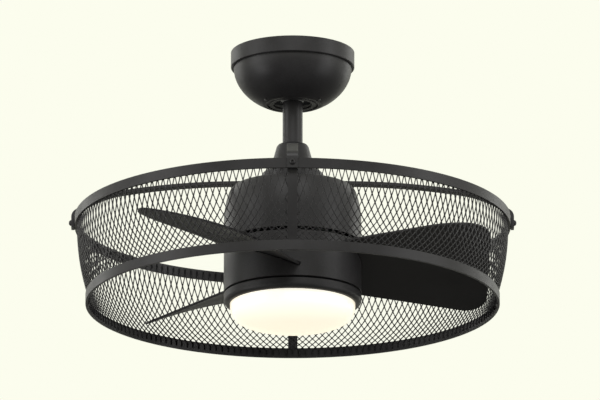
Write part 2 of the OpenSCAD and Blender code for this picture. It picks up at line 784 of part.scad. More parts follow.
module motor_housing() {
    inner = [for (p = housing_side()) p - [shell_t, shell_t]];
    color(paint) difference() {
        rotate_extrude() polygon(concat([[shaft_r, housing_z]], housing_side(),
            [[motor_r, housing_end_z], [drum_in_r, housing_end_z]], reversed(inner),
            [[shaft_r, housing_z - shell_t]]));
        hub_bolt_spots() disc(hub_bolt_r, housing_z + 1, shell_t + 2);
    }
}

module controller_board() {
    color("#2e5e3e") union() {
        tube(board_r, shaft_r + 6, board_z, board_t);
        around([for (i = [0:QUARTERS - 1]) i * 90]) translate([hub_r - board_post_r - shell_t, 0, 0])
            disc(board_post_r, housing_z - shell_t, housing_z - shell_t - board_z);
        around([30, 150, 270]) translate([board_r - board_part_in, 0, 0])
            disc(board_part_r, board_z - board_t, board_part_h);
    }
}

module motor_shaft() {
    color(steel) tube(shaft_r, shaft_bore_r, shaft_top_z, shaft_top_z - shaft_end_z);
}

tooth_w = 6;
tooth_tip_t = 3;
yoke_r = 28;
coil_in_r = yoke_r + 1;
coil_out_r = stator_r - tooth_tip_t - 0.5;
coil_t = coil_in_r * tan(180 / teeth) - tooth_w / 2 - 0.3;
coil_over = 4;

module stator_core() {
    tooth_a = 360 / teeth;
    color(steel) translate([0, 0, stator_z]) linear_extrude(stator_h) union() {
        difference() {
            circle(r = yoke_r);
            circle(r = shaft_r);
        }
        difference() {
            circle(r = stator_r);
            circle(r = stator_r - tooth_tip_t);
            around([for (i = [0:teeth - 1]) (i + 0.5) * tooth_a])
                translate([0, -tooth_w / 4]) square([stator_r + 1, tooth_w / 2]);
        }
        around([for (i = [0:teeth - 1]) i * tooth_a])
            translate([yoke_r - 1, -tooth_w / 2]) square([stator_r - yoke_r - 1, tooth_w]);
    }
}

module stator_windings() {
    color("#a8632f") around([for (i = [0:teeth - 1]) i * 360 / teeth]) difference() {
        translate([coil_in_r, -tooth_w / 2 - coil_t, stator_z - coil_over])
            cube([coil_out_r - coil_in_r, tooth_w + 2 * coil_t, stator_h + 2 * coil_over]);
        translate([coil_in_r - 1, -tooth_w / 2, stator_z])
            cube([coil_out_r - coil_in_r + 2, tooth_w, stator_h]);
    }
}

module magnet_ring() {
    color("#3d3f42") tube(rotor_wall_r, rotor_in_r, stator_z + stator_h + magnet_over,
        stator_h + 2 * magnet_over);
}

module rotor_upper_shell() {
    color(zinc) union() {
        tube(rotor_out_r, bearing_r - 2, upper_bearing_z, rotor_plate_t);
        tube(bearing_r + boss_t, bearing_r, upper_bearing_z + bearing_w, bearing_w);
        tube(rotor_out_r, rotor_wall_r, upper_bearing_z,
            upper_bearing_z - rotor_end_z - rotor_plate_t);
    }
}

module rotor_lower_shell() {
    color(zinc) tube(rotor_out_r, shaft_r + bore_clear, rotor_end_z + rotor_plate_t, rotor_plate_t);
}

module inner_race(z) {
    color(steel) translate([0, 0, z]) rotate_extrude() difference() {
        translate([shaft_r, 0]) square([race_pitch_r - race_half_gap - shaft_r, bearing_w]);
        translate([race_pitch_r, bearing_w / 2]) circle(r = bearing_ball_r + bearing_gap);
    }
}

module outer_race(z) {
    color(steel) translate([0, 0, z]) rotate_extrude() difference() {
        translate([race_pitch_r + race_half_gap, 0])
            square([bearing_r - race_pitch_r - race_half_gap, bearing_w]);
        translate([race_pitch_r, bearing_w / 2]) circle(r = bearing_ball_r + bearing_gap);
    }
}

// The balls of a bearing and the retainer that spaces them
module ball_set(z) {
    angles = [for (i = [0:bearing_balls - 1]) i * 360 / bearing_balls];
    color("#d8dadc") translate([0, 0, z + bearing_w / 2]) {
        around(angles) translate([race_pitch_r, 0, 0]) sphere(r = bearing_ball_r);
        difference() {
            tube(race_pitch_r + 0.8, race_pitch_r - 0.8, retainer_h / 2, retainer_h);
            around(angles) translate([race_pitch_r - 2, 0, 0]) rotate([0, 90, 0])
                cylinder(r = bearing_ball_r + bearing_gap, h = 4);
        }
    }
}

// ---- Drum and blades ----

// A blade's own plane: x out along the blade, y across it, z through its thickness
module blade_plane(i) {
    rotate([0, 0, first_blade + (i - 1) * 360 / BLADES]) translate([0, 0, blade_z])
        rotate([-blade_pitch, 0, 0]) children();
}

module all_blade_planes() {
    for (i = [1:BLADES]) blade_plane(i) children();
}

// The bow across a blade, rise above its middle face, from its leading to its trailing side
function bow_line(rise) =
    [for (i = [-bow_steps:bow_steps]) let (y = lead_max * i / bow_steps)
        [y, sqrt(blade_bow_r * blade_bow_r - y * y) - blade_bow_r + rise]];

// A shape given by its outline across the blade, run along the blade
module along_blade(outline) {
    rotate([90, 0, 90]) linear_extrude(2 * blade_reach) polygon(outline);
}

// A flat outline as a bowed sheet, thicker than a blade by spare on each face
module bowed_sheet(spare) {
    edge = blade_t / 2 + spare;
    back = bow_line(-edge);
    intersection() {
        translate([0, 0, -lead_max]) linear_extrude(2 * lead_max) children();
        along_blade(concat(bow_line(edge), [for (i = [1:len(back)]) back[len(back) - i]]));
    }
}

// A spot on the blade's middle face, square to the bow
module on_bow(spot) {
    translate([0, 0, -blade_bow_r]) rotate([-asin(spot[1] / blade_bow_r), 0, 0])
        translate([spot[0], 0, blade_bow_r]) children();
}

function lead_y(x) = -lead_root - lead_flare * (x - flare_start);
function trail_y(x) = trail_root + trail_flare * (x - flare_start);

// The blade's outline: a tang inside the drum, flared edges and a blunt end, round at both corners
function blade_outline() =
    let (trail_end = [blade_reach, trail_y(blade_reach)],
         lead_end = [blade_reach - tip_slant * (trail_end[1] + lead_max), -lead_max],
         lead_bend = [lead_bend_x, -lead_max],
         lead_bend_r = lead_room * (lead_end[0] - lead_corner_r - lead_bend_x)
             / tan(atan(lead_flare) / 2),
         lead_in = [lead_in_x, lead_y(lead_in_x)],
         trail_in = [trail_in_x, trail_y(trail_in_x)])
    concat([[blade_in_x, -blade_in_w / 2], lead_in],
        rounded(lead_in, lead_bend, lead_end, lead_bend_r, 6),
        rounded(lead_bend, lead_end, trail_end, lead_corner_r, 12),
        rounded(lead_end, trail_end, trail_in, trail_corner_r, 12),
        [trail_in, [blade_in_x, blade_in_w / 2]]);

module blade(i) {
    color("#454341") blade_plane(i) difference() {
        bowed_sheet(0) polygon(blade_outline());
        blade_bolts(0);
    }
}

// The blade screws' shanks, and their heads where head is above 0
module blade_bolts(head) {
    for (spot = blade_screw_spots) on_bow(spot) {
        disc(blade_screw_r, blade_t / 2, blade_t + pad_t);
        if (head > 0) disc(blade_head_r, blade_t / 2 + head, head);
    }
}

module blade_screws() {
    color(zinc) all_blade_planes() blade_bolts(blade_head_h);
}

module blade_hub() {
    seat_z = drum_z - shell_t;
    color(zinc) difference() {
        union() {
            disc(barrel_r, rotor_end_z, rotor_end_z - lower_bearing_z);
            disc(shelf_r, seat_z, shelf_t);
            all_blade_planes() intersection() {
                translate([0, -pad_w / 2, -blade_t / 2 - pad_t]) cube([pad_reach, pad_w, pad_t]);
                along_blade(concat(bow_line(-blade_t / 2),
                    [[lead_max, -lead_max], [-lead_max, -lead_max]]));
            }
        }
        disc(shaft_r + bore_clear, rotor_end_z + 1, rotor_end_z + 2 - lower_bearing_z);
        disc(bearing_r, lower_bearing_z + bearing_w, bearing_w + 1);
        all_blade_planes() blade_bolts(0);
    }
}

module drum_cover() {
    color(paint) difference() {
        union() {
            tube(motor_r, drum_in_r, drum_z, drum_h);
            tube(motor_r, barrel_r, drum_z, shell_t);
        }
        all_blade_planes() bowed_sheet(slot_gap) polygon([
            [slot_in_x, lead_y(slot_in_x) - slot_gap], [slot_out_x, lead_y(slot_out_x) - slot_gap],
            [slot_out_x, trail_y(slot_out_x) + slot_gap],
            [slot_in_x, trail_y(slot_in_x) + slot_gap]]);
    }
}

module drum_base() {
    color(paint) tube(drum_in_r, shaft_r + bore_clear, drum_end_z + shell_t, shell_t);
}

// ---- Light ----

bezel_spots = [30, 150, 270];
bezel_ledge_r = drum_in_r - 5;
bezel_screws_r = drum_in_r - 2.5;

module bezel_spot() {
    around(bezel_spots) translate([bezel_screws_r, 0, 0]) children();
}

module light_plate() {
    color(zinc) difference() {
        union() {
            disc(drum_in_r, light_plate_z, light_plate_t);
            disc(light_boss_r, led_board_z, light_boss_h);
        }
        disc(shaft_r, light_plate_z + 1, 10);
        bezel_spot() disc(bezel_screw_r, light_plate_z + 1, light_plate_t + 2);
    }
}

module shaft_nut() {
    color(zinc) difference() {
        translate([0, 0, shaft_nut_z - shaft_nut_h]) cylinder(r = shaft_r + 4.5, h = shaft_nut_h, $fn = 6);
        disc(shaft_r, shaft_nut_z + 1, shaft_nut_h + 2);
    }
}

// The light's circuit board, with its rings of light emitting chips
module led_board() {
    chip_w = 4;
    chip_h = 1;
    color("#e9e9e4") union() {
        tube(led_board_r, light_boss_r + 2, led_board_z, led_board_t);
        for (ring = [0.45, 0.68, 0.9]) around([for (i = [0:11]) (i + ring) * 30])
            translate([led_board_r * ring - chip_w / 2, -chip_w / 2, led_board_z - led_board_t - chip_h])
                cube([chip_w, chip_w, chip_h + led_board_t / 2]);
    }
}

module light_bezel() {
    corner = [motor_r - bezel_round_r, bezel_end_z + bezel_round_r];
    lip_r = diffuser_r + 0.2;
    ledge_z = led_board_z;
    color(paint) difference() {
        rotate_extrude() polygon(concat(
            [[motor_r, bezel_z]], arc(corner, bezel_round_r, 0, -90, 8),
            [[lip_r, bezel_end_z], [lip_r, bezel_end_z + lip_t]],
            arc(corner, bezel_round_r - lip_t, -90, 0, 8),
            [[drum_in_r, ledge_z - lip_t], [bezel_ledge_r, ledge_z - lip_t],
             [bezel_ledge_r, ledge_z], [drum_in_r, ledge_z], [drum_in_r, bezel_z]]));
        bezel_spot() disc(bezel_screw_r, ledge_z + 1, lip_t + 2);
    }
}

module bezel_screws() {
    color(zinc) bezel_spot() {
        disc(bezel_head_r, light_plate_z + bezel_head_h, bezel_head_h);
        disc(bezel_screw_r, light_plate_z, light_plate_t + lip_t);
    }
}

module diffuser() {
    seat = bezel_end_z + lip_t;
    function bowl(t) = bulge([0, 0], diffuser_r - t, diffuser_h - t, diffuser_power, 20);
    color("#f4efe2") rotate_extrude() polygon(concat(
        [[diffuser_r - diffuser_t, seat + flange_w], [diffuser_r + flange_w, seat + flange_w],
         [diffuser_r + flange_w, seat], [diffuser_r, seat]],
        [for (p = bowl(0)) [p[0], bezel_end_z - p[1]]],
        [for (p = reversed(bowl(diffuser_t))) [p[0], bezel_end_z - p[1]]]));
}

// ---- The assembly ----

ceiling_bracket();
canopy_cover();
canopy_trim_ring();
canopy_collar();
canopy_screws();
receiver_box();
hanger_ball();
ball_pin();
downrod();
rod_coupling();
coupling_pin();
coupling_set_screws();
bell_cover();
cage_hub();
hub_screws();
top_ring();
bottom_ring();
cage_screws();
cage_nuts();
motor_housing();
controller_board();
motor_shaft();
stator_core();
stator_windings();
magnet_ring();
rotor_upper_shell();
rotor_lower_shell();
drum_cover();
drum_base();
blade_hub();
blade_screws();
inner_race(upper_bearing_z);  // upper_inner_race
outer_race(upper_bearing_z);  // upper_outer_race
ball_set(upper_bearing_z);  // upper_ball_set
inner_race(lower_bearing_z);  // lower_inner_race
outer_race(lower_bearing_z);  // lower_outer_race
ball_set(lower_bearing_z);  // lower_ball_set
light_plate();
shaft_nut();
led_board();
light_bezel();
bezel_screws();
diffuser();
for (i = [1:QUARTERS]) {
    cage_arm(i);
    cage_strap(i);
    mesh_panel(i);
}
for (i = [1:BLADES]) blade(i);
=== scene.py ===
# %% [markdown]
# # A caged ceiling fan with a light
#
# The fan hangs from a ceiling on a short pipe. Three wide blades turn inside a round cage of
# diamond mesh, and an opal lamp glows under them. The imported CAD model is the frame: it already
# holds every part in its true place and size. This lesson dresses it: the cage gets its fine
# mesh, the sheet metal gets rounded edges, and each part gets the finish of the real material.

# %% Load the frame
import json
import math

import bmesh
import bpy
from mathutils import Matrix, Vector

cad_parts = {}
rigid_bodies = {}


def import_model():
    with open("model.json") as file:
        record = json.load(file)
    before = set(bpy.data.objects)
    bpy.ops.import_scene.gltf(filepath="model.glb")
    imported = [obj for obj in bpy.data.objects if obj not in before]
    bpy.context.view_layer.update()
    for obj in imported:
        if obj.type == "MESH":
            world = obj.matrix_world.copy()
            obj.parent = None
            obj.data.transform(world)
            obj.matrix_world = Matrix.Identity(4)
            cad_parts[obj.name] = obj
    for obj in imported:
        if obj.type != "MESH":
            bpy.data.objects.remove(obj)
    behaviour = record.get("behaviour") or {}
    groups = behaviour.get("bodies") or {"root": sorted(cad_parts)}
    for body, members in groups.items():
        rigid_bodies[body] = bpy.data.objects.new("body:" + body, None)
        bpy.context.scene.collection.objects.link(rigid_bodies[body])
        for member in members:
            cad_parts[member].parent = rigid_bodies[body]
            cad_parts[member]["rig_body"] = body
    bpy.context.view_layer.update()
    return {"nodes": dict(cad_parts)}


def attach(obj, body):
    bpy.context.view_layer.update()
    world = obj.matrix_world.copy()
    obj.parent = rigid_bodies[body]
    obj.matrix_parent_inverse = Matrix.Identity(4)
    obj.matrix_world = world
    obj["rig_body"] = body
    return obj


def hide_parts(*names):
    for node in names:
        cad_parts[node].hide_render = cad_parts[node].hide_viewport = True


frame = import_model()
MM = 0.001

# %% [markdown]
# ## Two small helpers
#
# A shader wants linear colour, but people read colours as hex codes, so one function turns one
# into the other. The second adds a node to any tree, sets it up and links it, which keeps every
# tree below down to one line for each node.

# %% Helpers
def linear(hex_code, alpha=1.0):
    """A hex colour as the linear red, green, blue and alpha that a socket wants."""
    parts = [int(hex_code[i:i + 2], 16) / 255 for i in (1, 3, 5)]
    return (*[p / 12.92 if p <= 0.04045 else ((p + 0.055) / 1.055) ** 2.4 for p in parts], alpha)


def add(tree, kind, inputs=None, **settings):
    """Adds a node. Each input is a value, or the output socket that feeds it."""
    node = tree.nodes.new(kind)
    for name, value in settings.items():
        setattr(node, name, value)
    for socket, value in (inputs or {}).items():
        if isinstance(value, bpy.types.NodeSocket):
            tree.links.new(value, node.inputs[socket])
        else:
            node.inputs[socket].default_value = value
    return node


# %% [markdown]
# ## Camera
#
# The camera's place and lens were fitted to the rings in the photo: it stands 11 m off, 3.4 m
# under the ceiling, and looks up through a long lens. A long lens keeps the rings' ellipses
# nearly the same at the front and at the back, as they are in a product picture.

# %% Camera
PICTURE_WIDTH = 600
FOCAL_PIXELS = 8861.7
SENSOR = 36.0
CAMERA_PLACE = (0.0098, -11.3227, -3.4264)
CAMERA_TILT_UP = 0.2773
SIGHT_LIMIT = 500
camera_data = bpy.data.cameras.new("long_lens")
camera_data.sensor_width = SENSOR
camera_data.lens = SENSOR * FOCAL_PIXELS / PICTURE_WIDTH
camera_data.clip_end = SIGHT_LIMIT
camera = bpy.data.objects.new("camera", camera_data)
bpy.context.scene.collection.objects.link(camera)
camera.location = CAMERA_PLACE
camera.rotation_euler = (math.pi / 2 + CAMERA_TILT_UP, 0, 0)
bpy.context.scene.camera = camera
bpy.context.scene.view_settings.view_transform = "Standard"
print("lens, mm:", round(camera_data.lens))

# %% [markdown]
# ## Backdrop and light
#
# Black paint shows its shape only through what it mirrors. A dim, even world lights the fan from
# everywhere, two tall soft boxes at the sides draw the pale edges on the drum and the rings, two
# weak ones behind it outline its shoulders, and a soft front lamp lights the opal lamp's face. The
# cream of the backdrop is the world's colour for camera, glossy and transmission rays, so diffuse
# surfaces get no extra light from it. The pale floor lies far below, out of the way of a view from
# under the fan.

# %% World, floor and lamps
CREAM = "#FCFDEE"
FILL_STRENGTH = 0.25
world = bpy.data.worlds.new("studio")
bpy.context.scene.world = world
world.use_nodes = True
tree = world.node_tree
tree.nodes.clear()
path = add(tree, "ShaderNodeLightPath")
seen = add(tree, "ShaderNodeMath", {0: path.outputs["Is Camera Ray"],
                                    1: path.outputs["Is Glossy Ray"]}, operation="MAXIMUM")
seen = add(tree, "ShaderNodeMath", {0: seen.outputs[0],
                                    1: path.outputs["Is Transmission Ray"]}, operation="MAXIMUM")
dim = add(tree, "ShaderNodeBackground", {"Color": linear("#FFFFFF"), "Strength": FILL_STRENGTH})
backdrop = add(tree, "ShaderNodeBackground", {"Color": linear(CREAM), "Strength": 1.0})
mixed = add(tree, "ShaderNodeMixShader", {0: seen.outputs[0], 1: dim.outputs[0],
                                          2: backdrop.outputs[0]})
add(tree, "ShaderNodeOutputWorld", {"Surface": mixed.outputs[0]})

FLOOR_Z = -40.0
FLOOR_HALF = 200.0
floor_mesh = bpy.data.meshes.new("floor")
SQUARE = ((-1, -1), (1, -1), (1, 1), (-1, 1))
corners = [(x * FLOOR_HALF, y * FLOOR_HALF, FLOOR_Z) for x, y in SQUARE]
floor_mesh.from_pydata(corners, [], [(0, 1, 2, 3)])
floor = bpy.data.objects.new("floor", floor_mesh)
bpy.context.scene.collection.objects.link(floor)
pale = bpy.data.materials.new("pale_floor")
pale.use_nodes = True
pale_shader = pale.node_tree.nodes["Principled BSDF"]
pale_shader.inputs["Base Color"].default_value = linear("#F4F3E6")
pale_shader.inputs["Roughness"].default_value = 0.9
floor_mesh.materials.append(pale)

FAN_MIDDLE = Vector((0, 0, -0.24))
LAMPS = {  # name: place in metres, width, height, watts
    "left_box": ((-3.0, -1.0, -0.5), 1.1, 4.0, 70),
    "right_box": ((3.0, -1.0, -0.3), 1.1, 4.0, 60),
    "front_box": ((0, -3.6, 2.8), 3.0, 1.6, 130),
    "left_rim": ((-2.6, 2.4, 0.9), 0.9, 3.0, 24),
    "right_rim": ((2.6, 2.4, 0.9), 0.9, 3.0, 22),
}
for name, (place, width, height, watts) in LAMPS.items():
    lamp = bpy.data.lights.new(name, "AREA")
    lamp.shape = "RECTANGLE"
    lamp.size, lamp.size_y, lamp.energy = width, height, watts
    lamp_object = bpy.data.objects.new(name, lamp)
    bpy.context.scene.collection.objects.link(lamp_object)
    lamp_object.location = place
    lamp_object.rotation_euler = (Vector(place) - FAN_MIDDLE).to_track_quat("Z", "Y").to_euler()
    lamp_object.visible_camera = False

# %% [markdown]
# ## Finishes
#
# Every finish starts from a real material and how its surface was made. They share one recipe:
# two close tones mixed by a coarse noise, so that no surface is one flat colour, a roughness
# that drifts with the same noise, and a fine bump whose grain is given in millimetres. Object
# coordinates keep the grain still on the part while it moves.

# %% One recipe for a surface
TONE_RANGE = (0.15, 0.35)  # of the two noises' product, which gives the first and the second tone
DRIFT_RANGE = (0.35, 0.65)  # of the coarse noise, which gives the lowest and highest roughness
WAVES_PER_UNIT = 3.18  # waves to a unit of length at scale 1


def surface(name, tones, rough, grain_mm, bump_mm, drift_mm=40, pattern=None, **uniform):
    """tones: two hex colours. rough: lowest and highest. pattern: a (kind, mm) of lines."""
    made = bpy.data.materials.new(name)
    made.use_nodes = True
    tree = made.node_tree
    tree.nodes.clear()
    place = add(tree, "ShaderNodeTexCoord").outputs["Object"]
    drift = add(tree, "ShaderNodeTexNoise", {"Vector": place, "Scale": 1 / (drift_mm * MM),
                                             "Detail": 4.0})
    grain = add(tree, "ShaderNodeTexNoise", {"Vector": place, "Scale": 1 / (grain_mm * MM),
                                             "Detail": 2.0})
    mix = add(tree, "ShaderNodeMath", {0: drift.outputs[0], 1: grain.outputs[0]},
              operation="MULTIPLY")
    tone = add(tree, "ShaderNodeMapRange", {
        "Value": mix.outputs[0], 1: TONE_RANGE[0], 2: TONE_RANGE[1]})
    colour = add(tree, "ShaderNodeMix", {0: tone.outputs[0], 6: linear(tones[0]),
                                         7: linear(tones[1])}, data_type="RGBA")
    roughness = add(tree, "ShaderNodeMapRange", {
        "Value": drift.outputs[0], 1: DRIFT_RANGE[0], 2: DRIFT_RANGE[1], 3: rough[0], 4: rough[1]})
    height = grain.outputs[0]
    if pattern:
        kind, pitch = pattern
        lines = add(tree, "ShaderNodeTexWave", {
            "Vector": place, "Scale": 1 / (pitch * MM * WAVES_PER_UNIT), "Distortion": 0.3,
            "Detail": 1.0}, wave_type="RINGS" if kind == "rings" else "BANDS")
        if kind == "rings":
            lines.rings_direction = "Z"
        else:
            lines.bands_direction = "Z"
        height = lines.outputs[1]
    bump = add(tree, "ShaderNodeBump", {"Height": height, "Strength": 1.0,
                                        "Distance": bump_mm * MM})
    shader = add(tree, "ShaderNodeBsdfPrincipled", {
        "Base Color": colour.outputs[2], "Roughness": roughness.outputs[0],
        "Normal": bump.outputs[0], **uniform})
    add(tree, "ShaderNodeOutputMaterial", {"Surface": shader.outputs[0]})
    return made


# %% [markdown]
# ### Black powder coat
#
# The sheet metal is steel under a matt black powder coat: a baked plastic skin with a fine
# orange peel. The peel breaks a mirror image into a soft sheen, so edges that face the side
# lights turn grey and flat faces stay near black. The mesh has the same coat with the same
# gloss, and a finer peel to suit its thin strands.

# %% Powder coats and the blades' plastic
FINISHES = {
    # The peel is about 0.4 mm on the real coat, and 1.2 mm here so that a render shows it
    "black_powder_coat": surface("black_powder_coat", ("#222122", "#2A292A"), (0.4, 0.5),
                                 1.2, 0.02, IOR=1.5, **{"Specular IOR Level": 0.2}),
    "black_mesh": surface("black_mesh_coat", ("#212021", "#292829"), (0.4, 0.5),
                          0.8, 0.01, IOR=1.5, **{"Specular IOR Level": 0.2}),
    # Moulded in a spark eroded mould: an even, very fine grain with almost no gloss
    "blade_black": surface("blade_moulded_abs", ("#201F20", "#272627"), (0.5, 0.6),
                           0.9, 0.015, IOR=1.53, **{"Specular IOR Level": 0.15}),
    "black_abs": surface("black_abs", ("#1A1A1A", "#202020"), (0.45, 0.55), 0.9, 0.01, IOR=1.53),
}

# %% [markdown]
# ### Bare metals
#
# The parts inside and the fasteners are bare metal. A metal has no colour of its own apart from
# its mirror image, so it is set by its metallic value and its roughness: zinc plate is pale and
# a little blue, cast aluminium is grainy, turned steel carries fine rings from the tool.

# %% Metals
FINISHES.update({
    "zinc_plated_steel": surface("zinc_plate", ("#AEB4B9", "#C3C7C9"), (0.25, 0.4), 2.5, 0.004,
                                 drift_mm=8, Metallic=1.0),
    "cast_aluminium": surface("cast_aluminium", ("#9C9DA0", "#B4B5B7"), (0.45, 0.6), 1.0, 0.03,
                              drift_mm=15, Metallic=1.0),
    "machined_steel": surface("turned_steel", ("#8F9194", "#A2A4A6"), (0.22, 0.34), 1.0, 0.004,
                              pattern=("rings", 0.8), Metallic=1.0),
    "bearing_steel": surface("ground_bearing_steel", ("#B5B7B9", "#C4C6C8"), (0.08, 0.16), 1.0,
                             0.001, Metallic=1.0),
    # Punched sheets, 0.5 mm thick, stacked along the shaft
    "lamination_steel": surface("stacked_lamination_steel", ("#6E7073", "#83868A"), (0.35, 0.5),
                                1.0, 0.05, pattern=("layers", 0.5), Metallic=1.0),
    # Enamelled wire, 0.6 mm, so the coil sides are ribbed
    "winding_copper": surface("enamelled_copper_wire", ("#A4552B", "#BE6A38"), (0.25, 0.35), 1.0,
                              0.1, pattern=("layers", 0.6), Metallic=1.0),
})

# %% [markdown]
# ### Ceramics, boards and the opal lamp cover
#
# Ferrite magnets are a dull dark ceramic. Circuit boards are glass fibre under a lacquer. The
# lamp cover is opal acrylic: light scatters in it, so it glows evenly and has no hot spots. A
# weak emission of its own gives the glow, and the studio light does the shading.

# %% Boards, magnets and opal acrylic
FINISHES.update({
    "magnet_ferrite": surface("ferrite", ("#333436", "#3E3F41"), (0.6, 0.75), 0.8, 0.02),
    "board_green": surface("green_solder_lacquer", ("#174A2C", "#1E5A37"), (0.25, 0.35), 2.0,
                           0.01),
    "board_white": surface("white_solder_lacquer", ("#E4E4E0", "#EFEFEB"), (0.3, 0.4), 2.0, 0.01),
    # A thin warm skin over the opal core: it deepens where the eye meets the cover at a slant
    "opal_acrylic": surface("opal_acrylic", ("#F3F2EF", "#F8F7F4"), (0.3, 0.36), 3.0, 0.004,
                            IOR=1.49, **{
                                "Emission Color": linear("#FFFFF6"), "Emission Strength": 0.76,
                                "Coat Weight": 1.0, "Coat Roughness": 0.3, "Coat IOR": 1.1,
                                "Coat Tint": linear("#FBF7F0")}),
})
for node in frame["nodes"].values():
    for slot in node.material_slots:
        slot.material = FINISHES[slot.material.name]
print("finishes:", len(FINISHES))

# %% [markdown]
# ## Rounded edges
#
# Sheet metal that has been cut, bent and coated has no knife edges: the coat rounds them to
# about half a millimetre. That thin round is what catches the light along a ring or a strap. A
# CAD mesh is loose triangles, so a copy is merged first, flat areas are joined up, a Bevel
# modifier rounds what is sharper than a limit, and weighted normals keep the flats flat.

# %% Round the edges of the parts that show
SAME_POINT_MM = 0.002
FLAT_ANGLE = math.radians(0.3)
SHARP_ANGLE = math.radians(32)
EDGE_SEGMENTS = 2


def rounded(name, width_mm):
    """A copy of a node with its sharp edges rounded, which takes the node's place."""
    source = frame["nodes"][name]
    mesh = bpy.data.meshes.new(name + "_rounded")
    mesh.from_pydata([v.co for v in source.data.vertices], [],
                     [p.vertices for p in source.data.polygons])
    work = bmesh.new()
    work.from_mesh(mesh)
    bmesh.ops.remove_doubles(work, verts=work.verts, dist=SAME_POINT_MM * MM)
    bmesh.ops.dissolve_limit(work, angle_limit=FLAT_ANGLE, verts=work.verts, edges=work.edges)
    for face in work.faces:
        face.smooth = True
    work.to_mesh(mesh)
    work.free()
    draft = bpy.data.objects.new(name + "_draft", mesh)
    bpy.context.scene.collection.objects.link(draft)
    bevel = draft.modifiers.new("edge", "BEVEL")
    bevel.width, bevel.segments = width_mm * MM, EDGE_SEGMENTS
    bevel.limit_method, bevel.angle_limit = "ANGLE", SHARP_ANGLE
    draft.modifiers.new("flats", "WEIGHTED_NORMAL").keep_sharp = True
    return hand_over(draft, name + "_rounded", name)


def hand_over(draft, name, *replaced):
    """Makes the draft a plain mesh with the first replaced node's finish, on that node's body, and
    hides the nodes it replaces.
    """
    graph = bpy.context.evaluated_depsgraph_get()
    mesh = bpy.data.meshes.new_from_object(draft.evaluated_get(graph), depsgraph=graph)
    mesh.name = name
    bpy.data.objects.remove(draft)
    made = bpy.data.objects.new(name, mesh)
    bpy.context.scene.collection.objects.link(made)
    source = frame["nodes"][replaced[0]]
    finish = source.material_slots[0].material
    mesh.materials.clear()
    mesh.materials.append(finish)
    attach(made, source["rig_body"])
    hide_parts(*replaced)
    return made


EDGES = {  # node: the width of its rounded edges in millimetres
    "canopy_cover": 0.5, "canopy_collar": 0.5, "downrod": 0.4,
    "bell_cover": 0.5, "top_ring": 0.4, "bottom_ring": 0.4, "motor_housing": 0.6,
    "drum_cover": 0.6, "light_bezel": 0.6, "diffuser": 0.4,
    **{f"cage_arm_{i}": 0.5 for i in (1, 2, 3, 4)},
    **{f"cage_strap_{i}": 0.4 for i in (1, 2, 3, 4)},
    **{f"blade_{i}": 1.2 for i in (1, 2, 3)},
}
for name, width in EDGES.items():
    piece = rounded(name, width)
    print(piece.name, len(piece.data.polygons), "faces")

# %% [markdown]
# ## The diamond mesh
#
# The cage's wall is expanded steel mesh: about 194 diamonds round it, from their spacing in the
# photo, and thirteen half rows down, each row lower than the last. Modelling it by hand would take
# hundreds of strands, but one rule makes them all: a strand steps half a column sideways for each
# half row down, and another one mirrors it. So Geometry Nodes draws one strand of each hand on the
# cage's round wall, repeats the pair round the axis, and lets them pass behind the four straps.

# %% The mesh's sizes
MESH_SIZES = {  # input of the node tree: value, in metres or as a number
    "Columns": 194,
    "Half Rows": 13,
    "Row Ratio": 0.745,  # each half row's height, as a share of the one above
    "Even Share": 0.45,  # how far the rows are drawn back to even heights
    "Top": -238 * MM,
    "Bottom": -338 * MM,
    "Stub": 6.5 * MM,  # the strands' ends, which run on inside both rings
    "Ring Radius": 286.2 * MM,
    "Lean Start": -242.1 * MM,
    "Lean Height": 92.8 * MM,
    "Lean Radius": 294.56 * MM,
    "Strand": 1.0 * MM,
    "Sunk": 0.7,  # the strands' depth under the ring's wall, in strands
    "Bond": 0.3,  # how much a strand swells where two of them meet
    "Strap Half": 6.35 * MM,
    "Strap Depth": 2.2 * MM,
    "Step Start": 0.6 * MM,  # beyond the strap's edge, where the step inwards is complete
    "Step End": 4.0 * MM,  # and where it begins
    "Nut Bottom": -239.8 * MM,
}


# %% Starting a tree, and copies round the axis
def start_tree(name, sizes):
    """A tree with one named input for each size. maths() adds a sum to it."""
    tree = bpy.data.node_groups.new(name, "GeometryNodeTree")
    for size, value in sizes.items():
        kind = "NodeSocketInt" if isinstance(value, int) else "NodeSocketFloat"
        tree.interface.new_socket(size, in_out="INPUT", socket_type=kind)
    tree.interface.new_socket("Geometry", in_out="OUTPUT", socket_type="NodeSocketGeometry")

    def maths(operation, *values):
        return add(tree, "ShaderNodeMath", dict(enumerate(values)),
                   operation=operation).outputs[0]

    return tree, add(tree, "NodeGroupInput").outputs, maths


def round_the_axis(tree, maths, piece, count):
    """Copies a piece round the upright axis at even steps, as real geometry."""
    posts = add(tree, "GeometryNodeMeshLine", {"Count": count})
    tree.links.new(add(tree, "ShaderNodeCombineXYZ").outputs[0], posts.inputs["Offset"])
    index = add(tree, "GeometryNodeInputIndex").outputs[0]
    turn = add(tree, "FunctionNodeAxisAngleToRotation", {
        "Axis": (0, 0, 1), "Angle": maths("MULTIPLY", index, maths("DIVIDE", math.tau, count))})
    copies = add(tree, "GeometryNodeInstanceOnPoints", {
        "Points": posts.outputs[0], "Instance": piece, "Rotation": turn.outputs[0]})
    return add(tree, "GeometryNodeRealizeInstances", {0: copies.outputs[0]}).outputs[0]


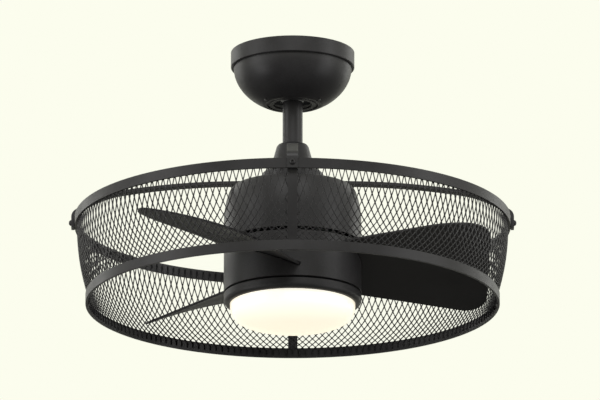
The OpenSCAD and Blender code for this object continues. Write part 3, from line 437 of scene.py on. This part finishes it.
# %% The tree that weaves the mesh
def mesh_tree(sizes, finish):
    """Strands of both hands, crossing at each half row, and stepped in behind the straps."""
    tree, size, maths = start_tree("diamond_mesh", sizes)
    # Points 0 and last are the stubs' ends, and every second point between is a bond
    count = maths("MULTIPLY_ADD", size["Half Rows"], 2, 3)
    line = add(tree, "GeometryNodeCurvePrimitiveLine")
    line = add(tree, "GeometryNodeResampleCurve", {"Curve": line.outputs[0], "Count": count})
    index = add(tree, "GeometryNodeInputIndex").outputs[0]
    last = maths("SUBTRACT", count, 1)
    row = maths("MAXIMUM", maths("MULTIPLY", maths("SUBTRACT", index, 1), 0.5), 0)
    row = maths("MINIMUM", row, size["Half Rows"])
    fallen = maths("DIVIDE", maths("SUBTRACT", 1, maths("POWER", size["Row Ratio"], row)),
                   maths("SUBTRACT", 1, maths("POWER", size["Row Ratio"], size["Half Rows"])))
    evenly = maths("SUBTRACT", maths("DIVIDE", row, size["Half Rows"]), fallen)
    fallen = maths("MULTIPLY_ADD", evenly, size["Even Share"], fallen)
    height = maths("MULTIPLY_ADD", fallen, maths("SUBTRACT", size["Bottom"], size["Top"]),
                   size["Top"])
    first = maths("LESS_THAN", index, 0.5)
    final = maths("GREATER_THAN", index, maths("SUBTRACT", last, 0.5))
    height = maths("MULTIPLY_ADD", maths("SUBTRACT", first, final), size["Stub"], height)

    # The wall's radius at that height: upright in the ring, then a round lean
    fall = maths("MAXIMUM", maths("SUBTRACT", size["Lean Start"], height), 0)
    fall = maths("MINIMUM", fall, size["Lean Height"])
    lean = maths("SQRT", maths("SUBTRACT", maths("POWER", size["Lean Radius"], 2),
                               maths("POWER", fall, 2)))
    radius = maths("ADD", maths("SUBTRACT", size["Ring Radius"], size["Lean Radius"]), lean)
    radius = maths("SUBTRACT", radius, maths("MULTIPLY", size["Strand"], size["Sunk"]))

    # A strand is thickest at a whole row, where it is bonded to its neighbour
    off_bond = maths("ABSOLUTE", maths("SUBTRACT", row, maths("ROUND", row)))
    swell = maths("MULTIPLY_ADD", maths("SUBTRACT", 0.5, off_bond),
                  maths("MULTIPLY", size["Bond"], 2), 1)
    profile = add(tree, "GeometryNodeCurvePrimitiveQuadrilateral",
                  {"Width": size["Strand"], "Height": size["Strand"]})
    pair = add(tree, "GeometryNodeJoinGeometry")
    half_column = maths("DIVIDE", math.pi, size["Columns"])
    for hand in (1, -1):
        angle = maths("MULTIPLY", maths("MULTIPLY", row, half_column), hand)
        out = add(tree, "ShaderNodeCombineXYZ", {
            0: maths("COSINE", angle), 1: maths("SINE", angle)})
        spot = add(tree, "ShaderNodeVectorMath", {0: out.outputs[0], 3: radius}, operation="SCALE")
        spot = add(tree, "ShaderNodeVectorMath", {
            0: spot.outputs[0], 1: add(tree, "ShaderNodeCombineXYZ", {2: height}).outputs[0]},
            operation="ADD")
        strand = add(tree, "GeometryNodeSetPosition", {"Geometry": line.outputs[0],
                                                       "Position": spot.outputs[0]})
        strand = add(tree, "GeometryNodeSetCurveNormal", {"Curve": strand.outputs[0],
                                                          "Normal": out.outputs[0]}, mode="FREE")
        strand = add(tree, "GeometryNodeCurveToMesh", {
            "Curve": strand.outputs[0], "Profile Curve": profile.outputs[0], "Scale": swell,
            "Fill Caps": True})
        tree.links.new(strand.outputs[0], pair.inputs[0])

    real = round_the_axis(tree, maths, pair.outputs[0], size["Columns"])

    # Within a strap's width the strands step inwards, and stop short of its nut
    place = add(tree, "GeometryNodeInputPosition").outputs[0]
    xyz = add(tree, "ShaderNodeSeparateXYZ", {0: place}).outputs
    quarter = maths("DIVIDE", maths("ARCTAN2", xyz[1], xyz[0]), math.pi / 2)
    aside = maths("ABSOLUTE", maths("SUBTRACT", quarter, maths("ROUND", quarter)))
    aside = maths("MULTIPLY", maths("MULTIPLY", aside, math.pi / 2), size["Ring Radius"])
    near = add(tree, "ShaderNodeMapRange", {
        "Value": aside, 1: maths("ADD", size["Strap Half"], size["Step Start"]),
        2: maths("ADD", size["Strap Half"], size["Step End"]), 3: 1.0, 4: 0.0},
        interpolation_type="SMOOTHSTEP").outputs[0]
    outward = add(tree, "ShaderNodeVectorMath", {
        0: add(tree, "ShaderNodeCombineXYZ", {0: xyz[0], 1: xyz[1]}).outputs[0]},
        operation="NORMALIZE").outputs[0]
    step = add(tree, "ShaderNodeVectorMath", {
        0: outward, 3: maths("MULTIPLY", maths("MULTIPLY", near, size["Strap Depth"]), -1)},
        operation="SCALE").outputs[0]
    over = maths("MAXIMUM", maths("SUBTRACT", xyz[2], size["Nut Bottom"]), 0)
    behind = maths("LESS_THAN", aside, size["Strap Half"])
    lowered = maths("MULTIPLY", maths("MULTIPLY", over, behind), -1)
    drop = add(tree, "ShaderNodeCombineXYZ", {2: lowered})
    shift = add(tree, "ShaderNodeVectorMath", {0: step, 1: drop.outputs[0]}, operation="ADD")
    woven = add(tree, "GeometryNodeSetPosition", {"Geometry": real,
                                                  "Offset": shift.outputs[0]})
    painted = add(tree, "GeometryNodeSetMaterial", {"Geometry": woven.outputs[0],
                                                    "Material": finish})
    add(tree, "NodeGroupOutput", {0: painted.outputs[0]})
    return tree


# %% Run it and hand the result to the frame
def grow(name, tree, sizes, *replaced):
    """Runs a tree on an empty mesh with these inputs, and hands the result over."""
    draft = bpy.data.objects.new(name + "_draft", bpy.data.meshes.new(name + "_draft"))
    modifier = draft.modifiers.new("grow", "NODES")
    modifier.node_group = tree
    for socket in tree.interface.items_tree:
        if socket.in_out == "INPUT":
            modifier[socket.identifier] = sizes[socket.name]
    bpy.context.scene.collection.objects.link(draft)
    made = hand_over(draft, name, *replaced)
    print(name + ":", len(made.data.polygons), "faces")


grow("cage_mesh", mesh_tree(MESH_SIZES, FINISHES["black_mesh"]), MESH_SIZES,
     *[f"mesh_panel_{i}" for i in (1, 2, 3, 4)])

# %% [markdown]
# ## Screw heads
#
# Four domed cap screws hold the arms' lugs, the top ring and the straps together. The photo shows
# a small dark spot in the front head. It is taken for a six sided socket, which is a guess, and the
# CAD dome leaves it out. One tree makes a dome, cuts the socket with a Mesh Boolean, adds the
# shank, and sets a copy at each of the four arms.

# %% The screws' sizes and their tree
SCREW_SIZES = {
    "Count": 4,
    "Head Radius": 4.0 * MM,
    "Head Height": 3.5 * MM,
    "Socket Radius": 1.7 * MM,
    "Socket Depth": 2.2 * MM,
    "Shank Radius": 2.0 * MM,
    "Shank End": 280.13 * MM,
    "Seat": 293.8 * MM,
    "Level": -235.4 * MM,
}


def screw_tree(sizes, finish):
    """A domed head with its socket and a shank, pointing outwards, at each of the arms."""
    tree, size, maths = start_tree("cap_screws", sizes)
    outwards = (0, math.pi / 2, 0)

    def set_at(piece, along, scale=(1, 1, 1)):
        spot = add(tree, "ShaderNodeCombineXYZ", {0: along, 2: size["Level"]})
        return add(tree, "GeometryNodeTransform", {
            "Geometry": piece, "Translation": spot.outputs[0], "Rotation": outwards,
            "Scale": scale}).outputs[0]

    ball = add(tree, "GeometryNodeMeshUVSphere", {"Segments": 32, "Rings": 16, "Radius": 1.0})
    ball = add(tree, "GeometryNodeSetShadeSmooth", {0: ball.outputs[0]})
    flattened = add(tree, "ShaderNodeCombineXYZ", {
        0: size["Head Radius"], 1: size["Head Radius"], 2: size["Head Height"]})
    dome = set_at(ball.outputs[0], size["Seat"], flattened.outputs[0])
    # The tool is centred on the dome's top, so half its length cuts the socket's depth
    key = add(tree, "GeometryNodeMeshCylinder", {
        "Vertices": 6, "Radius": size["Socket Radius"],
        "Depth": maths("MULTIPLY", size["Socket Depth"], 2)})
    head = add(tree, "GeometryNodeMeshBoolean", {
        "Mesh 1": dome, "Mesh 2": set_at(key.outputs[0], maths("ADD", size["Seat"],
                                                              size["Head Height"]))},
        operation="DIFFERENCE")
    length = maths("SUBTRACT", size["Seat"], size["Shank End"])
    shank = add(tree, "GeometryNodeMeshCylinder", {
        "Vertices": 24, "Radius": size["Shank Radius"], "Depth": length})
    shank = set_at(shank.outputs[0], maths("MULTIPLY_ADD", length, 0.5, size["Shank End"]))
    screw = add(tree, "GeometryNodeJoinGeometry", {0: head.outputs[0]})
    tree.links.new(shank, screw.inputs[0])
    real = round_the_axis(tree, maths, screw.outputs[0], size["Count"])
    painted = add(tree, "GeometryNodeSetMaterial", {"Geometry": real, "Material": finish})
    add(tree, "NodeGroupOutput", {0: painted.outputs[0]})
    return tree


grow("cap_screws", screw_tree(SCREW_SIZES, FINISHES["black_powder_coat"]), SCREW_SIZES,
     "cage_screws")
